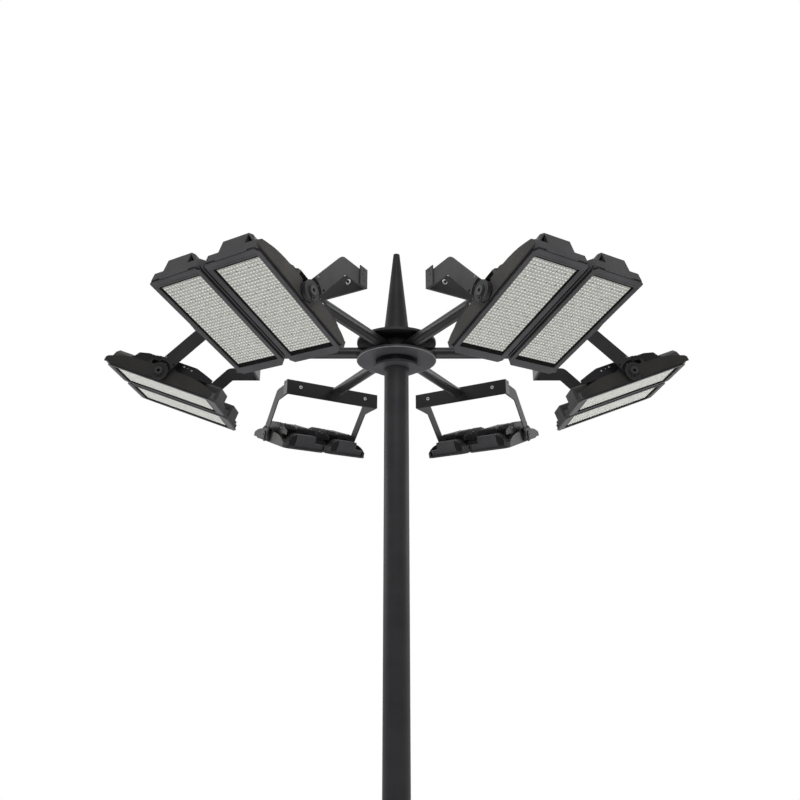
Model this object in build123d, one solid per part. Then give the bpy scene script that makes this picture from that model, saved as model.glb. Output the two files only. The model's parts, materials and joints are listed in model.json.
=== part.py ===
from build123d import *
import os
from math import atan2, cos, degrees, radians, sin, sqrt

# High mast floodlight tower, in millimetres, +Z up.
# The origin is the centre of the base flange's underside.
# The head has six arms. Each arm ends in a mounting plate that holds a yoke, and each yoke
# holds one floodlight, which tilts about a level axis across the arm.

os.makedirs("parts", exist_ok=True)

# ---------------------------------------------------------------- driving dimensions, mm
ARM_AXIS_Z = 12000.0          # height of the arms' centre lines above the base
HEAD_ANGLES = (0, 60, 120, 180, 240, 300)

# base flange
FLANGE_R = 270.0
FLANGE_T = 30.0
ANCHOR_PCD = 440.0
ANCHOR_COUNT = 8
ANCHOR_HOLE_R = 16.5
GUSSET_COUNT = 8
GUSSET_T = 12.0
GUSSET_H = 220.0
GUSSET_FOOT = 90.0
GUSSET_TOE = 12.0

# tubular mast in three sections, each upper one starting with a cone
LOWER_TUBE_R = 136.5
MIDDLE_TUBE_R = 109.5
UPPER_TUBE_R = 80.0
LOWER_JOINT_Z = 4200.0
UPPER_JOINT_Z = 8200.0
CONE_H = 180.0

# inspection door near the foot of the mast
DOOR_W = 130.0
DOOR_H = 600.0
DOOR_Z = 700.0
DOOR_T = 5.0
DOOR_CORNER = 30.0

# hub at the mast head
DISC_R = 263.5
DISC_T = 16.0
HUB_GAP_LOW = 44.0            # from the arm axis down to the lower disc's top
HUB_GAP_HIGH = 61.0           # from the arm axis up to the upper disc's underside
DRUM_R = 120.0
COLLAR_R = 137.0
COLLAR_H = 38.0
SMALL_FLANGE_R = 151.0
SMALL_FLANGE_T = 16.0
SPIKE_BASE_R = 92.0
SPIKE_TIP_R = 22.0
SPIKE_H = 660.0

# arm and mounting plate
ARM_R = 38.05
PLATE_IN_R = 977.0            # radius of the plate's inner face
PLATE_T = 8.0
PLATE_Z_LOW = -56.0           # the plate's lower and upper edges, from the arm axis
PLATE_Z_HIGH = 55.0
LIP_T = 6.0
LIP_REACH = 60.0              # how far the end lips stand out beyond the plate
PLATE_BOLT_T = 275.0          # the plate's bolt holes, each side of the arm
PLATE_BOLT_Z = 7.0
PLATE_BOLT_R = 7.0
LIP_HOLE_R = 4.5
LIP_HOLES = ((27.0, 36.0), (38.0, 10.0), (25.0, -21.0))   # from the plate's face, height

# yoke
YOKE_T = 8.0
LEG_OUT_T = 380.0             # outer face of each leg, across the arm
LEG_TOP_Z = 34.0
LEG_LOW_Z = -58.0
LEG_W = 88.0                  # width of the sloping part
LEG_ELBOW_R = 62.0
LEG_INNER_R = 14.0
LEG_EYE_R = 54.0              # round end of the leg on the dial side
LEG_RECESS_R = 72.0           # shallow round recess behind the dial
LEG_RECESS_T = 3.5
PLAIN_EYE_R = 18.0            # small eye of the other leg, which tapers towards it
PLAIN_EYE_NECK = 16.0
PLAIN_TAPER = 20.0            # how far above the pivot that leg starts to taper

# tilt pivot
PIVOT_R = 1440.0
PIVOT_Z = -266.0
REST_TILT = 20.0              # outer end up, from level
PIN_R = 12.0
PIN_PLAY = 0.3
BOSS_R = 49.0                 # the drum between the side bracket and the leg, dial side
DIAL_IN_Y = 378.3
DIAL_OUT_Y = 384.0
DIAL_R = 31.0
HUB_RING_R = 26.0             # raised ring in the middle of the dial
HUB_RING_T = 3.0
HUB_HOLE_R = 9.0
HUB_HOLE_DEPTH = 7.0
POINTER_DIRECTION = 245.0     # the dial's pointer, from the lamp's outward direction
POINTER_REACH = 50.0
POINTER_W = 22.0
PLAIN_DISC_T = 4.0            # on the other side, the drum is only this thick
SPACER_R = 16.0               # spacer and end cap of the plain pivot
CAP_T = 5.0
RUN_GAP = 0.3                 # side play each side of a leg
LOCK_R = 56.0                 # radius of the lock stud about the pivot
LOCK_STUD_R = 4.0
LOCK_SLOT_R = 5.5
LOCK_DEPTH = 4.0              # how far the stud reaches into the slot
LOCK_DIRECTION = 135.0        # from the pivot up the leg's centre line, from +X
TILT_LOW = -30.0
TILT_HIGH = 80.0

# floodlight: two modules side by side between two side brackets
MODULE_HALF = 170.0           # half the width of one module
MODULE_GAP = 10.0             # between the two modules
SIDE_STEP = 5.0               # how far a module's side stands back behind the side bracket
FRONT_Z = -57.0               # front face of the bezel, from the pivot axis
FRAME_Z = -46.0               # here the body starts behind the bezel's front edge
GROOVE_Z = -38.0              # floor of the groove along one long side of the bezel
BEZEL_OUT = 345.0             # the bezel's outer and inner ends, from the pivot
BEZEL_IN = 372.0
BEZEL_EDGE = 10.0
FRONT_SIDE = 155.0            # the bezel's grooved side, from the module's centre
RIM_SIDE = 164.0              # the groove's far wall
RIM_Z = -48.0                 # edge of the rim beside the groove
BODY_OUT = 351.0
BODY_IN = 358.0
OUTER_CORNER = 20.0
INNER_CORNER = 30.0
WINDOW_OUT = 308.0            # the window's outer and inner ends
WINDOW_IN = 322.0
WINDOW_HALF = 132.0
LENS_FACE_Z = -46.0
LENS_T = 6.0
SKIRT_T = 12.0                # end skirt, which laps the bezel's outer end
SKIRT_Z = -54.0
SKIRT_SIDE = 97.0

# end boxes on the housing's back, from the module's centre: square side, then bevelled side
BOX_SIDE = 88.0
BOX_FLAT = 66.0
BOX_KNEE = (101.0, 0.66)      # the knee of the bevelled side, and its share of the box's height
BOX_FOOT = 128.0
OUTER_BOX_TOP = 72.5
INNER_BOX_TOP = 58.0
OUTER_BOX_START = 250.0
INNER_BOX_START = 264.0
BOX_POCKET_DEPTH = 30.0
BOX_POCKET_WALL = 3.0
BOX_POCKET_RIM = 8.5          # the pocket's upper rim
BOX_POCKET_FOOT = 112.0

# finned heat sink and driver case
SINK_HALF_L = 212.0
SINK_HALF_W = 135.0
SINK_BASE_TOP = 34.0
SINK_TOP = 108.0
SINK_OUT_TOP = 92.0
SINK_OUT_SHOULDER_X = 150.0   # where the outer slope starts
SINK_IN_SHOULDER_X = 186.0
SIDE_FIN_STEP = ((64.0, SINK_TOP), (100.0, 76.0), (SINK_HALF_L, 64.0))     # outermost fin
NEXT_FIN_STEP = ((88.0, SINK_TOP), (124.0, 92.0), (SINK_HALF_L, 80.0))
FIN_TIP = (-257.0, 86.0)      # the fins' inner end overhangs the tie bar
SIDE_FIN_TIP = (-308.0, 68.0)         # the outermost fin runs further inwards
FIN_LOW_Z = 40.0              # underside of the overhang
FIN_T = 4.0
FIN_PITCH = 15.0
FIN_FIELD = 100.0             # width of the finned part
DRIVER_GAP = 8.0
DRIVER_TOP = 101.0
DRIVER_ROUND = 22.0

# side brackets
BRACKET_T = 6.0
BRACKET_LOW = -46.0
INNER_TIP = ((352.0, -22.0), (341.0, -8.0))
DIAL_SIDE_TIP = ((361.0, -21.0), (351.0, -8.0))       # outer end, on the dial's side
PLAIN_SIDE_TIP = ((335.0, -22.0), (329.0, -8.0))
BRACKET_SLOPE = ((314.0, 6.0), (275.0, 19.0), (239.0, 27.0), (197.0, 33.0))
BRACKET_CREST = 36.0
BRACKET_CREST_X = 150.0
EAR_FOOT_X = 98.0
EAR_SHOULDER = (95.0, 52.0)
EAR_CORNER = (86.0, 66.0)
EAR_TOP = 68.0
EAR_OUT_X = 76.0
EAR_BACK = ((-20.0, 68.0), (-60.0, 58.0))
TIE_W = 16.0
TIE_T = 22.0
TIE_GAP = 6.0                 # between the heat sink's end and the tie bar

# ---------------------------------------------------------------- derived sizes
UPPER_DISC_Z = ARM_AXIS_Z + HUB_GAP_HIGH
LOWER_DISC_Z = ARM_AXIS_Z - HUB_GAP_LOW - DISC_T
COLLAR_Z = LOWER_DISC_Z - COLLAR_H
SMALL_FLANGE_Z = COLLAR_Z - SMALL_FLANGE_T
PLATE_OUT_R = PLATE_IN_R + PLATE_T
LEG_IN_T = LEG_OUT_T - YOKE_T
MODULE_Y = MODULE_HALF + MODULE_GAP / 2
BRACKET_IN_Y = MODULE_Y + MODULE_HALF - SIDE_STEP
BRACKET_OUT_Y = BRACKET_IN_Y + BRACKET_T
BOSS_OUT_Y = LEG_IN_T - RUN_GAP
CAP_IN_Y = LEG_OUT_T + RUN_GAP
CUT_OVER = 1.0                # how far a cutter stands past what it cuts


def export_node(name, solids):
    """Write one node, as a single solid or as solids that stand apart."""
    shape = solids[0] if len(solids) == 1 else Compound(children=list(solids))
    export_step(shape, f"parts/{name}.step")


def box_between(low, high):
    """Box from its lowest to its highest corner."""
    size = [high[i] - low[i] for i in range(3)]
    centre = [(high[i] + low[i]) / 2 for i in range(3)]
    return Pos(*centre) * Box(*size)


def disc(radius, z_low, height):
    """Upright round disc on the mast's axis."""
    return Pos(0, 0, z_low + height / 2) * Cylinder(radius, height)


def cone(r_low, r_high, z_low, height):
    return Pos(0, 0, z_low + height / 2) * Cone(r_low, r_high, height)


def prism_xz(points, y_low, y_high):
    """Outline in X and Z, extruded from y_low to y_high."""
    face = make_face(Polyline(*[(x, 0, z) for x, z in points], close=True).edges())
    return Pos(0, y_low, 0) * extrude(face, amount=y_high - y_low, dir=(0, 1, 0))


def prism_yz(points, x_low, x_high):
    """Outline in Y and Z, extruded from x_low to x_high."""
    face = make_face(Polyline(*[(0, y, z) for y, z in points], close=True).edges())
    return Pos(x_low, 0, 0) * extrude(face, amount=x_high - x_low, dir=(1, 0, 0))


def rod_y(radius, x, z, y_low, y_high):
    """Round rod along Y."""
    return Pos(x, (y_low + y_high) / 2, z) * Rot(90, 0, 0) * Cylinder(radius, y_high - y_low)


def rod_x(radius, y, z, x_low, x_high):
    """Round rod along X."""
    return Pos((x_low + x_high) / 2, y, z) * Rot(0, 90, 0) * Cylinder(radius, x_high - x_low)


# ---------------------------------------------------------------- mast
def base_flange():
    plate = disc(FLANGE_R, 0, FLANGE_T)
    for i in range(ANCHOR_COUNT):
        a = radians((i + 0.5) * 360 / ANCHOR_COUNT)
        place = (ANCHOR_PCD / 2 * cos(a), ANCHOR_PCD / 2 * sin(a), FLANGE_T / 2)
        plate -= Pos(*place) * Cylinder(ANCHOR_HOLE_R, 2 * FLANGE_T)
    foot_x = LOWER_TUBE_R + GUSSET_FOOT
    outline = [
        (0, FLANGE_T),
        (foot_x, FLANGE_T),
        (foot_x, FLANGE_T + GUSSET_TOE),
        (LOWER_TUBE_R + GUSSET_TOE, FLANGE_T + GUSSET_H),
        (0, FLANGE_T + GUSSET_H),
    ]
    blade = prism_xz(outline, -GUSSET_T / 2, GUSSET_T / 2)
    blade -= disc(LOWER_TUBE_R, FLANGE_T, 2 * GUSSET_H)
    for i in range(GUSSET_COUNT):
        plate += Rot(0, 0, i * 360 / GUSSET_COUNT) * blade
    return plate


def door_cover():
    """Curved cover plate on the mast's -Y side, lying on the tube."""
    shell = disc(LOWER_TUBE_R + DOOR_T, DOOR_Z, DOOR_H) - disc(LOWER_TUBE_R, DOOR_Z, DOOR_H)
    opening = Pos(0, -LOWER_TUBE_R, DOOR_Z + DOOR_H / 2) * Box(DOOR_W, LOWER_TUBE_R, DOOR_H)
    opening = fillet(opening.edges().filter_by(Axis.Y), DOOR_CORNER)
    return shell & opening


def mast_section(radius, z_low, z_high, radius_below=None):
    if radius_below is None:
        return disc(radius, z_low, z_high - z_low)
    foot = cone(radius_below, radius, z_low, CONE_H)
    return foot + disc(radius, z_low + CONE_H, z_high - z_low - CONE_H)


def hub_collar():
    return disc(SMALL_FLANGE_R, SMALL_FLANGE_Z, SMALL_FLANGE_T) + disc(COLLAR_R, COLLAR_Z, COLLAR_H)


def spike():
    return cone(SPIKE_BASE_R, SPIKE_TIP_R, UPPER_DISC_Z + DISC_T, SPIKE_H)


# ---------------------------------------------------------------- arm, plate and yoke
# These are built about the arm axis: X outward along the arm, Y across it, Z up.
def arm():
    """Arm tube, coped to the drum, with its welded mounting plate."""
    tube = rod_x(ARM_R, 0, 0, 0, PLATE_IN_R)
    tube -= Rot(0, 0, 180) * Cylinder(DRUM_R, 4 * ARM_R)
    half = LEG_OUT_T + LIP_T
    plate = box_between((PLATE_IN_R, -half, PLATE_Z_LOW), (PLATE_OUT_R, half, PLATE_Z_HIGH))
    for side in (-1, 1):
        y_low, y_high = sorted((side * LEG_OUT_T, side * half))
        tip = PLATE_OUT_R + LIP_REACH
        plate += box_between((PLATE_IN_R, y_low, PLATE_Z_LOW), (tip, y_high, PLATE_Z_HIGH))
    for side in (-1, 1):
        plate -= rod_x(PLATE_BOLT_R, side * PLATE_BOLT_T, PLATE_BOLT_Z, 0, 2 * PLATE_IN_R)
    for reach, z in LIP_HOLES:
        plate -= rod_y(LIP_HOLE_R, PLATE_OUT_R + reach, z, -2 * half, 2 * half)
    return tube + plate


def leg_point(up, across_leg):
    """Point in the leg's side view, from the pivot: up along the leg, and across it."""
    s = 1 / sqrt(2)
    return (PIVOT_R - s * up + s * across_leg, PIVOT_Z + s * up + s * across_leg)


def leg_corners():
    """Where the sloping part's two edges meet the level part's top and underside."""
    end_top = leg_point(0, LEG_W / 2)
    end_low = leg_point(0, -LEG_W / 2)
    top_corner = (sum(end_top) - LEG_TOP_Z, LEG_TOP_Z)
    return top_corner, (sum(end_low) - LEG_LOW_Z, LEG_LOW_Z)


def edge_near(shape, corner):
    """The edge along Y that is nearest to a corner given in X and Z."""
    across_edges = shape.edges().filter_by(Axis.Y)
    return across_edges.sort_by(
        lambda e: abs(e.center().X - corner[0]) + abs(e.center().Z - corner[1])
    )[0]


def yoke_leg(y_low, y_high, has_dial):
    """Leg with a level part, a part that slopes down at 45 degrees, and an eye."""
    top_corner, low_corner = leg_corners()
    outline = [(PLATE_OUT_R, LEG_LOW_Z), (PLATE_OUT_R, LEG_TOP_Z), top_corner]
    if has_dial:
        outline += [leg_point(0, LEG_W / 2), leg_point(0, -LEG_W / 2)]
    else:
        outline += [
            leg_point(PLAIN_TAPER, LEG_W / 2),
            leg_point(0, PLAIN_EYE_NECK),
            leg_point(0, -PLAIN_EYE_NECK),
            leg_point(PLAIN_TAPER, -LEG_W / 2),
        ]
    leg = prism_xz(outline + [low_corner], y_low, y_high)
    leg = fillet(edge_near(leg, top_corner), LEG_ELBOW_R)
    leg = fillet(edge_near(leg, low_corner), LEG_INNER_R)
    eye_r = LEG_EYE_R if has_dial else PLAIN_EYE_R
    return leg + rod_y(eye_r, PIVOT_R, PIVOT_Z, y_low, y_high)


def lock_place():
    """The lock stud stands on the leg's centre line, above the pivot."""
    a = radians(LOCK_DIRECTION)
    return (PIVOT_R + LOCK_R * cos(a), PIVOT_Z + LOCK_R * sin(a))


def yoke(hand):
    """Bent plate with two legs. The leg on the hand's side carries the dial."""
    back_low = (PLATE_OUT_R, -LEG_OUT_T, LEG_LOW_Z)
    body = box_between(back_low, (PLATE_OUT_R + YOKE_T, LEG_OUT_T, LEG_TOP_Z))
    lock_x, lock_z = lock_place()
    for side in (-1, 1):
        y_low, y_high = sorted((side * LEG_IN_T, side * LEG_OUT_T))
        leg = yoke_leg(y_low, y_high, side == hand)
        if side == hand:
            floor = LEG_OUT_T - LEG_RECESS_T
            recess_low, recess_high = sorted((side * floor, side * (LEG_OUT_T + CUT_OVER)))
            leg -= rod_y(LEG_RECESS_R, PIVOT_R, PIVOT_Z, recess_low, recess_high)
        leg -= rod_y(PIN_R + PIN_PLAY, PIVOT_R, PIVOT_Z, y_low - CUT_OVER, y_high + CUT_OVER)
        stud_in, stud_out = sorted((side * (BRACKET_OUT_Y - LOCK_DEPTH), side * LEG_IN_T))
        body += leg
        body += rod_y(LOCK_STUD_R, lock_x, lock_z, stud_in, stud_out)
    for side in (-1, 1):
        body -= rod_x(PLATE_BOLT_R, side * PLATE_BOLT_T, PLATE_BOLT_Z, 0, 2 * PLATE_IN_R)
    for reach, z in LIP_HOLES:
        body -= rod_y(LIP_HOLE_R, PLATE_OUT_R + reach, z, -2 * LEG_OUT_T, 2 * LEG_OUT_T)
    return body


# ---------------------------------------------------------------- floodlight
# Built about the pivot: X outward along the lamp, Y along the tilt axis, Z to its back.
# hand is 1 or -1: the dial, the modules' grooves, end boxes and heat sinks are handed, for
# each side of the mast. Distances across a module count from its centre line y, positive to that hand.
def across(y, hand, near, far):
    """Lowest and highest Y of a strip of the module."""
    return sorted((y + hand * near, y + hand * far))


def plan_block(x_in, x_out, y_low, y_high, z_low, z_high, inner_cut, outer_cut):
    """Block with its upright corners cut off, by one size at each end."""
    block = box_between((x_in, y_low, z_low), (x_out, y_high, z_high))
    upright = block.edges().filter_by(Axis.Z).sort_by(Axis.X)
    block = chamfer(upright[:2], inner_cut)
    upright = block.edges().filter_by(Axis.Z).sort_by(Axis.X)
    return chamfer(upright[-2:], outer_cut)


def bezel(y, hand):
    """Front frame. One long side is bevelled, the other ends at a groove."""
    y_low, y_high = across(y, hand, -MODULE_HALF, FRONT_SIDE)
    frame = plan_block(
        -BEZEL_IN, BEZEL_OUT, y_low, y_high, FRONT_Z, FRAME_Z, INNER_CORNER, OUTER_CORNER
    )
    front = frame.faces().sort_by(Axis.Z)[0].edges()
    long_sides = front.filter_by(Axis.X).sort_by(Axis.Y)
    return chamfer(long_sides[0 if hand > 0 else -1], BEZEL_EDGE)


def end_box(y, hand, x_start, x_end, top):
    """Raised box at one end of the back, with a pocket in its end face."""
    knee, share = BOX_KNEE
    outline = [
        (y - hand * BOX_SIDE, 0),
        (y - hand * BOX_SIDE, top),
        (y + hand * BOX_FLAT, top),
        (y + hand * knee, top * share),
        (y + hand * BOX_FOOT, 0),
    ]
    pocket = [
        (y + hand * BOX_FLAT, BOX_POCKET_WALL),
        (y + hand * BOX_FLAT, top - BOX_POCKET_RIM),
        (y + hand * BOX_POCKET_FOOT, BOX_POCKET_WALL),
    ]
    side = 1 if x_end > 0 else -1
    x_low, x_high = sorted((x_start, x_end))
    pocket_low, pocket_high = sorted((x_end - side * BOX_POCKET_DEPTH, x_end + side * CUT_OVER))
    return prism_yz(outline, x_low, x_high) - prism_yz(pocket, pocket_low, pocket_high)


def module_housing(y, hand):
    """Bezel, body, end skirt and end boxes of one module, open where the lens panel sits."""
    outer_side = MODULE_HALF - SIDE_STEP
    if y > 0:
        y_low, y_high = y - MODULE_HALF, y + outer_side
    else:
        y_low, y_high = y - outer_side, y + MODULE_HALF
    body = plan_block(
        -BODY_IN, BODY_OUT, y_low, y_high, FRAME_Z, 0, INNER_CORNER, OUTER_CORNER
    )
    has_rim = y * hand < 0
    groove_low, groove_high = across(y, hand, FRONT_SIDE, RIM_SIDE if has_rim else MODULE_HALF)
    body -= box_between(
        (-BEZEL_IN, groove_low, FRAME_Z - CUT_OVER), (BEZEL_OUT, groove_high, GROOVE_Z)
    )
    skirt_low, skirt_high = across(y, hand, -BOX_SIDE, SKIRT_SIDE)
    skirt = box_between((BODY_OUT - SKIRT_T, skirt_low, SKIRT_Z), (BODY_OUT, skirt_high, FRAME_Z))
    housing = bezel(y, hand) + body + skirt
    if has_rim:
        rim_low, rim_high = across(y, hand, RIM_SIDE, MODULE_HALF)
        rim_end = BODY_OUT - OUTER_CORNER
        housing += box_between((-rim_end, rim_low, RIM_Z), (rim_end, rim_high, FRAME_Z))
    window_low = (-WINDOW_IN, y - WINDOW_HALF, 2 * FRONT_Z)
    housing -= box_between(window_low, (WINDOW_OUT, y + WINDOW_HALF, LENS_FACE_Z + LENS_T))
    housing += end_box(y, hand, OUTER_BOX_START, BODY_OUT, OUTER_BOX_TOP)
    return housing + end_box(y, hand, -INNER_BOX_START, -BODY_IN, INNER_BOX_TOP)


def fin_profile(inner_end, outer_end):
    """Side view of a fin: the inner end overhangs the tie bar, the outer end is square."""
    foot = [(-SINK_HALF_L, 0), (-SINK_HALF_L, FIN_LOW_Z), (inner_end[0][0], FIN_LOW_Z)]
    return foot + inner_end + [(-SINK_IN_SHOULDER_X, SINK_TOP)] + outer_end + [(SINK_HALF_L, 0)]


def heat_sink(y, hand):
    """Finned back of one module, with the closed driver compartment beside the fins."""
    base_low = (-SINK_HALF_L, y - SINK_HALF_W, 0)
    sink = box_between(base_low, (SINK_HALF_L, y + SINK_HALF_W, SINK_BASE_TOP))
    plain_end = [(SINK_OUT_SHOULDER_X, SINK_TOP), (SINK_HALF_L, SINK_OUT_TOP)]
    fin_count = int(FIN_FIELD // FIN_PITCH) + 1
    for i in range(fin_count):
        fin_out = SINK_HALF_W - i * FIN_PITCH
        y_low, y_high = across(y, hand, fin_out - FIN_T, fin_out)
        inner_end = [SIDE_FIN_TIP, FIN_TIP] if i == 0 else [FIN_TIP]
        outer_end = {0: list(SIDE_FIN_STEP), 1: list(NEXT_FIN_STEP)}.get(i, plain_end)
        sink += prism_xz(fin_profile(inner_end, outer_end), y_low, y_high)
    y_low, y_high = across(y, hand, -SINK_HALF_W, SINK_HALF_W - FIN_FIELD - DRIVER_GAP)
    case = box_between((-SINK_HALF_L, y_low, 0), (SINK_HALF_L, y_high, DRIVER_TOP))
    upper = case.faces().sort_by(Axis.Z)[-1].edges()
    return sink + fillet(upper, DRIVER_ROUND)


def lens_panel(y):
    low = (-WINDOW_IN, y - WINDOW_HALF, LENS_FACE_Z)
    return box_between(low, (WINDOW_OUT, y + WINDOW_HALF, LENS_FACE_Z + LENS_T))


def bracket_outline(outer_tip):
    """Arched side view, with the ear that carries the lock slot at its crest."""
    crest = (BRACKET_CREST_X, BRACKET_CREST)
    arch = [*BRACKET_SLOPE, crest]
    ear = [
        (EAR_FOOT_X, BRACKET_CREST),
        EAR_SHOULDER,
        EAR_CORNER,
        (EAR_OUT_X, EAR_TOP),
        *EAR_BACK,
        (-EAR_FOOT_X, BRACKET_CREST),
    ]
    outer = [(outer_tip[0][0], BRACKET_LOW), *outer_tip, *arch]
    inner = [(INNER_TIP[0][0], BRACKET_LOW), *INNER_TIP, *arch]
    return outer + ear + [(-x, z) for x, z in reversed(inner)]


def lock_slot(y_low, y_high):
    """Arc slot that the lock stud runs in, as wide as the whole tilt range."""
    start = LOCK_DIRECTION - REST_TILT - TILT_HIGH
    end = LOCK_DIRECTION - REST_TILT - TILT_LOW
    extra = degrees(atan2(LOCK_SLOT_R - LOCK_STUD_R, LOCK_R))
    path = CenterArc((0, 0), LOCK_R, start - extra, end - start + 2 * extra)
    slot = Plane.XZ * SlotArc(path, 2 * LOCK_SLOT_R)
    return Pos(0, y_high, 0) * extrude(slot, amount=y_high - y_low)


def pivot_stack(side, steps):
    """Round steps along the tilt axis, as (radius, near, far) from the lamp's middle."""
    stack = []
    for radius, near, far in steps:
        step_low, step_high = sorted((side * near, side * far))
        stack.append(rod_y(radius, 0, 0, step_low, step_high))
    return stack


def dial(side):
    """Round dial with a pointer, a raised ring and a blind hole, outside the leg."""
    y_low, y_high = sorted((side * DIAL_IN_Y, side * DIAL_OUT_Y))
    end_y = DIAL_OUT_Y + HUB_RING_T
    ring_low, ring_high = sorted((side * DIAL_OUT_Y, side * end_y))
    hole_low, hole_high = sorted((side * (end_y - HUB_HOLE_DEPTH), side * (end_y + CUT_OVER)))
    half = POINTER_W / 2
    pointer = box_between((0, y_low, -half), (POINTER_REACH, y_high, half))
    shape = rod_y(DIAL_R, 0, 0, y_low, y_high) + Rot(0, -POINTER_DIRECTION, 0) * pointer
    shape += rod_y(HUB_RING_R, 0, 0, ring_low, ring_high)
    return shape - rod_y(HUB_HOLE_R, 0, 0, hole_low, hole_high)


def side_brackets(hand):
    """Both arched side plates with their pivots, the dial on one, and the two tie bars."""
    disc_y = BRACKET_OUT_Y + PLAIN_DISC_T
    steps = {
        hand: [(BOSS_R, BRACKET_OUT_Y, BOSS_OUT_Y), (PIN_R, BOSS_OUT_Y, DIAL_IN_Y)],
        -hand: [
            (BOSS_R, BRACKET_OUT_Y, disc_y),
            (SPACER_R, disc_y, BOSS_OUT_Y),
            (PIN_R, BOSS_OUT_Y, CAP_IN_Y),
            (SPACER_R, CAP_IN_Y, CAP_IN_Y + CAP_T),
        ],
    }
    frame = None
    for side in (-1, 1):
        y_low, y_high = sorted((side * BRACKET_IN_Y, side * BRACKET_OUT_Y))
        tip = DIAL_SIDE_TIP if side == hand else PLAIN_SIDE_TIP
        plate = prism_xz(bracket_outline(tip), y_low, y_high)
        plate -= lock_slot(y_low - CUT_OVER, y_high + CUT_OVER)
        for step in pivot_stack(side, steps[side]):
            plate += step
        frame = plate if frame is None else frame + plate
    frame += dial(hand)
    tie_x = SINK_HALF_L + TIE_GAP
    for end in (-1, 1):
        x_low, x_high = sorted((end * tie_x, end * (tie_x + TIE_W)))
        bar_low = (x_low, -BRACKET_IN_Y, 0)
        frame += box_between(bar_low, (x_high, BRACKET_IN_Y, TIE_T))
    return frame


# ---------------------------------------------------------------- assembly
def write_mast():
    lower = mast_section(LOWER_TUBE_R, FLANGE_T, LOWER_JOINT_Z)
    middle = mast_section(MIDDLE_TUBE_R, LOWER_JOINT_Z, UPPER_JOINT_Z, LOWER_TUBE_R)
    upper = mast_section(UPPER_TUBE_R, UPPER_JOINT_Z, SMALL_FLANGE_Z, MIDDLE_TUBE_R)
    export_node("base_flange", [base_flange()])
    export_node("mast_lower_section", [lower])
    export_node("mast_middle_section", [middle])
    export_node("mast_upper_section", [upper])
    export_node("door_cover", [door_cover()])
    export_node("hub_collar", [hub_collar()])
    export_node("lower_disc", [disc(DISC_R, LOWER_DISC_Z, DISC_T)])
    export_node("hub_drum", [disc(DRUM_R, LOWER_DISC_Z + DISC_T, HUB_GAP_LOW + HUB_GAP_HIGH)])
    export_node("upper_disc", [disc(DISC_R, UPPER_DISC_Z, DISC_T)])
    export_node("spike", [spike()])


def write_heads():
    arm_shape = arm()
    lens_shapes = [lens_panel(y) for y in (-MODULE_Y, MODULE_Y)]
    yoke_shapes = {hand: yoke(hand) for hand in (-1, 1)}
    brackets_shapes = {hand: side_brackets(hand) for hand in (-1, 1)}
    housing_shapes = {}
    sink_shapes = {}
    for hand in (-1, 1):
        housing_shapes[hand] = [module_housing(y, hand) for y in (-MODULE_Y, MODULE_Y)]
        sink_shapes[hand] = [heat_sink(y, hand) for y in (-MODULE_Y, MODULE_Y)]
    for number, angle in enumerate(HEAD_ANGLES, start=1):
        hand = 1 if 90 < angle < 270 else -1
        head = Pos(0, 0, ARM_AXIS_Z) * Rot(0, 0, angle)
        lamp = head * Pos(PIVOT_R, 0, PIVOT_Z) * Rot(0, -REST_TILT, 0)
        name = f"floodlight_{number}"
        export_node(f"arm_{number}", [head * arm_shape])
        export_node(f"yoke_{number}", [head * yoke_shapes[hand]])
        export_node(f"{name}_housings", [lamp * s for s in housing_shapes[hand]])
        export_node(f"{name}_heat_sinks", [lamp * s for s in sink_shapes[hand]])
        export_node(f"{name}_lens_panels", [lamp * s for s in lens_shapes])
        export_node(f"{name}_side_brackets", [lamp * brackets_shapes[hand]])


write_mast()
write_heads()
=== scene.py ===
import json
import math
import random

import bmesh
import bpy
from mathutils import Matrix, Vector


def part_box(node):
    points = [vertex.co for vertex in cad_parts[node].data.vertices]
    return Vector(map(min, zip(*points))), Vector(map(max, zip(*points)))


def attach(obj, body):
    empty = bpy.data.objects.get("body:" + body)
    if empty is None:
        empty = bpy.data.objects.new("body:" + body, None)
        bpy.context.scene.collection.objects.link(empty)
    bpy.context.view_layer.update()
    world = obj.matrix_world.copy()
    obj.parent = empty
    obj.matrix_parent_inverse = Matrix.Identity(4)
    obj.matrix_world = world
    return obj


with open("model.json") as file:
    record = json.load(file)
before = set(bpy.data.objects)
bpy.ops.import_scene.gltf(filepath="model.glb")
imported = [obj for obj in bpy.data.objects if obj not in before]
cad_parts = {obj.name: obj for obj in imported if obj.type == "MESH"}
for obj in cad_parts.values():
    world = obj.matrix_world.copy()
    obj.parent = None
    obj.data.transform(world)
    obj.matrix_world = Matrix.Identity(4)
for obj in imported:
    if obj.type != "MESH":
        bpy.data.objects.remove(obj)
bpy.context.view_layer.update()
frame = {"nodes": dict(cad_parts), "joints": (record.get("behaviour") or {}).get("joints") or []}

# ---------------------------------------------------------------- sizes, in metres
# They repeat the CAD model's sizes where a piece has to meet it.
# The lamp's own axes: X outward along the lamp, Y along the tilt axis, Z to its back.
# hand is 1 or -1, as the modules' grooves and heat sinks are handed.
PIVOT_DROP = 0.266            # the tilt axis lies this far under the arms' centre lines
REST_TILT = math.radians(20)
MODULE_CENTRES = (-0.175, 0.175)
BEZEL_FRONT = -0.057
GROOVE_MIDDLE = 0.1595        # from the module's centre
GROOVE_FLOOR = -0.038
BODY_BACK = 0.0
BODY_IN = 0.358
WINDOW_OUT = 0.308            # the window opening in the bezel
WINDOW_IN = 0.322
WINDOW_HALF_W = 0.132
FIELD_OUT = 0.294             # the part of it that the lenses fill
FIELD_IN = 0.300
FIELD_HALF_W = 0.126
LENS_FACE = -0.046
SINK_HALF_L = 0.212
SINK_HALF_W = 0.135
DRIVER_TOP = 0.101
DRIVER_NEAR = -0.135          # the driver case's sides, from the module's centre
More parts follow.
